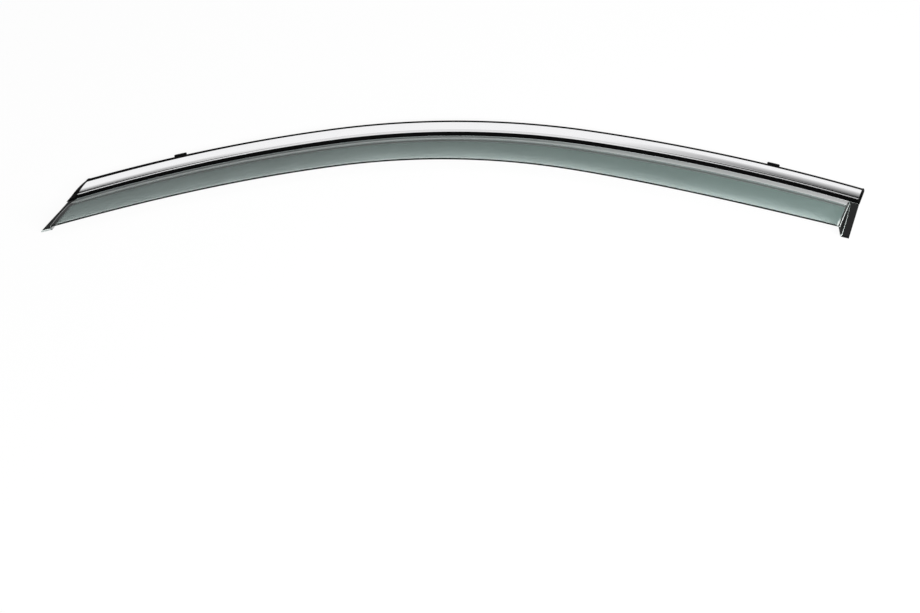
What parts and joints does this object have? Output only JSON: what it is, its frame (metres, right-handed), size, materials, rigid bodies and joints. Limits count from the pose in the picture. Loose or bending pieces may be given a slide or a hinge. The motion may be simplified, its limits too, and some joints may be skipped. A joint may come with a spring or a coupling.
{
  "type": "window rain deflector",
  "caption": "Smoked window rain deflector for a front door: a long curved visor with closed, footed ends, a bright trim strip on a black carrier, mounting tape and hooked clips.",
  "frame": {"origin": "middle of the outline, on the plane that the mounting tape sticks to", "axes": "+X along the door to its rear end, +Y up the door to the top edge, +Z away from the glass"},
  "size_m": [1.0094, 0.2, 0.0194],
  "materials": {
    "smoked_shield": "polished, tinted, see-through",
    "black_carrier": "satin black extrusion",
    "bright_trim": "bright polished stainless",
    "black_cap": "semi-gloss black moulding",
    "foam_tape": "matt foam",
    "clip_steel": "black coated spring steel"
  },
  "bodies": {
    "root": {"visor_shield": "smoked_shield", "trim_carrier": "black_carrier", "chrome_trim": "bright_trim", "front_end_cap": "black_cap", "rear_end_cap": "black_cap", "front_tape": "foam_tape", "middle_tape": "foam_tape", "rear_tape": "foam_tape", "front_foot_pad": "foam_tape", "rear_foot_pad": "foam_tape", "front_clip": "clip_steel", "rear_clip": "clip_steel"}
  },
  "joints": []
}
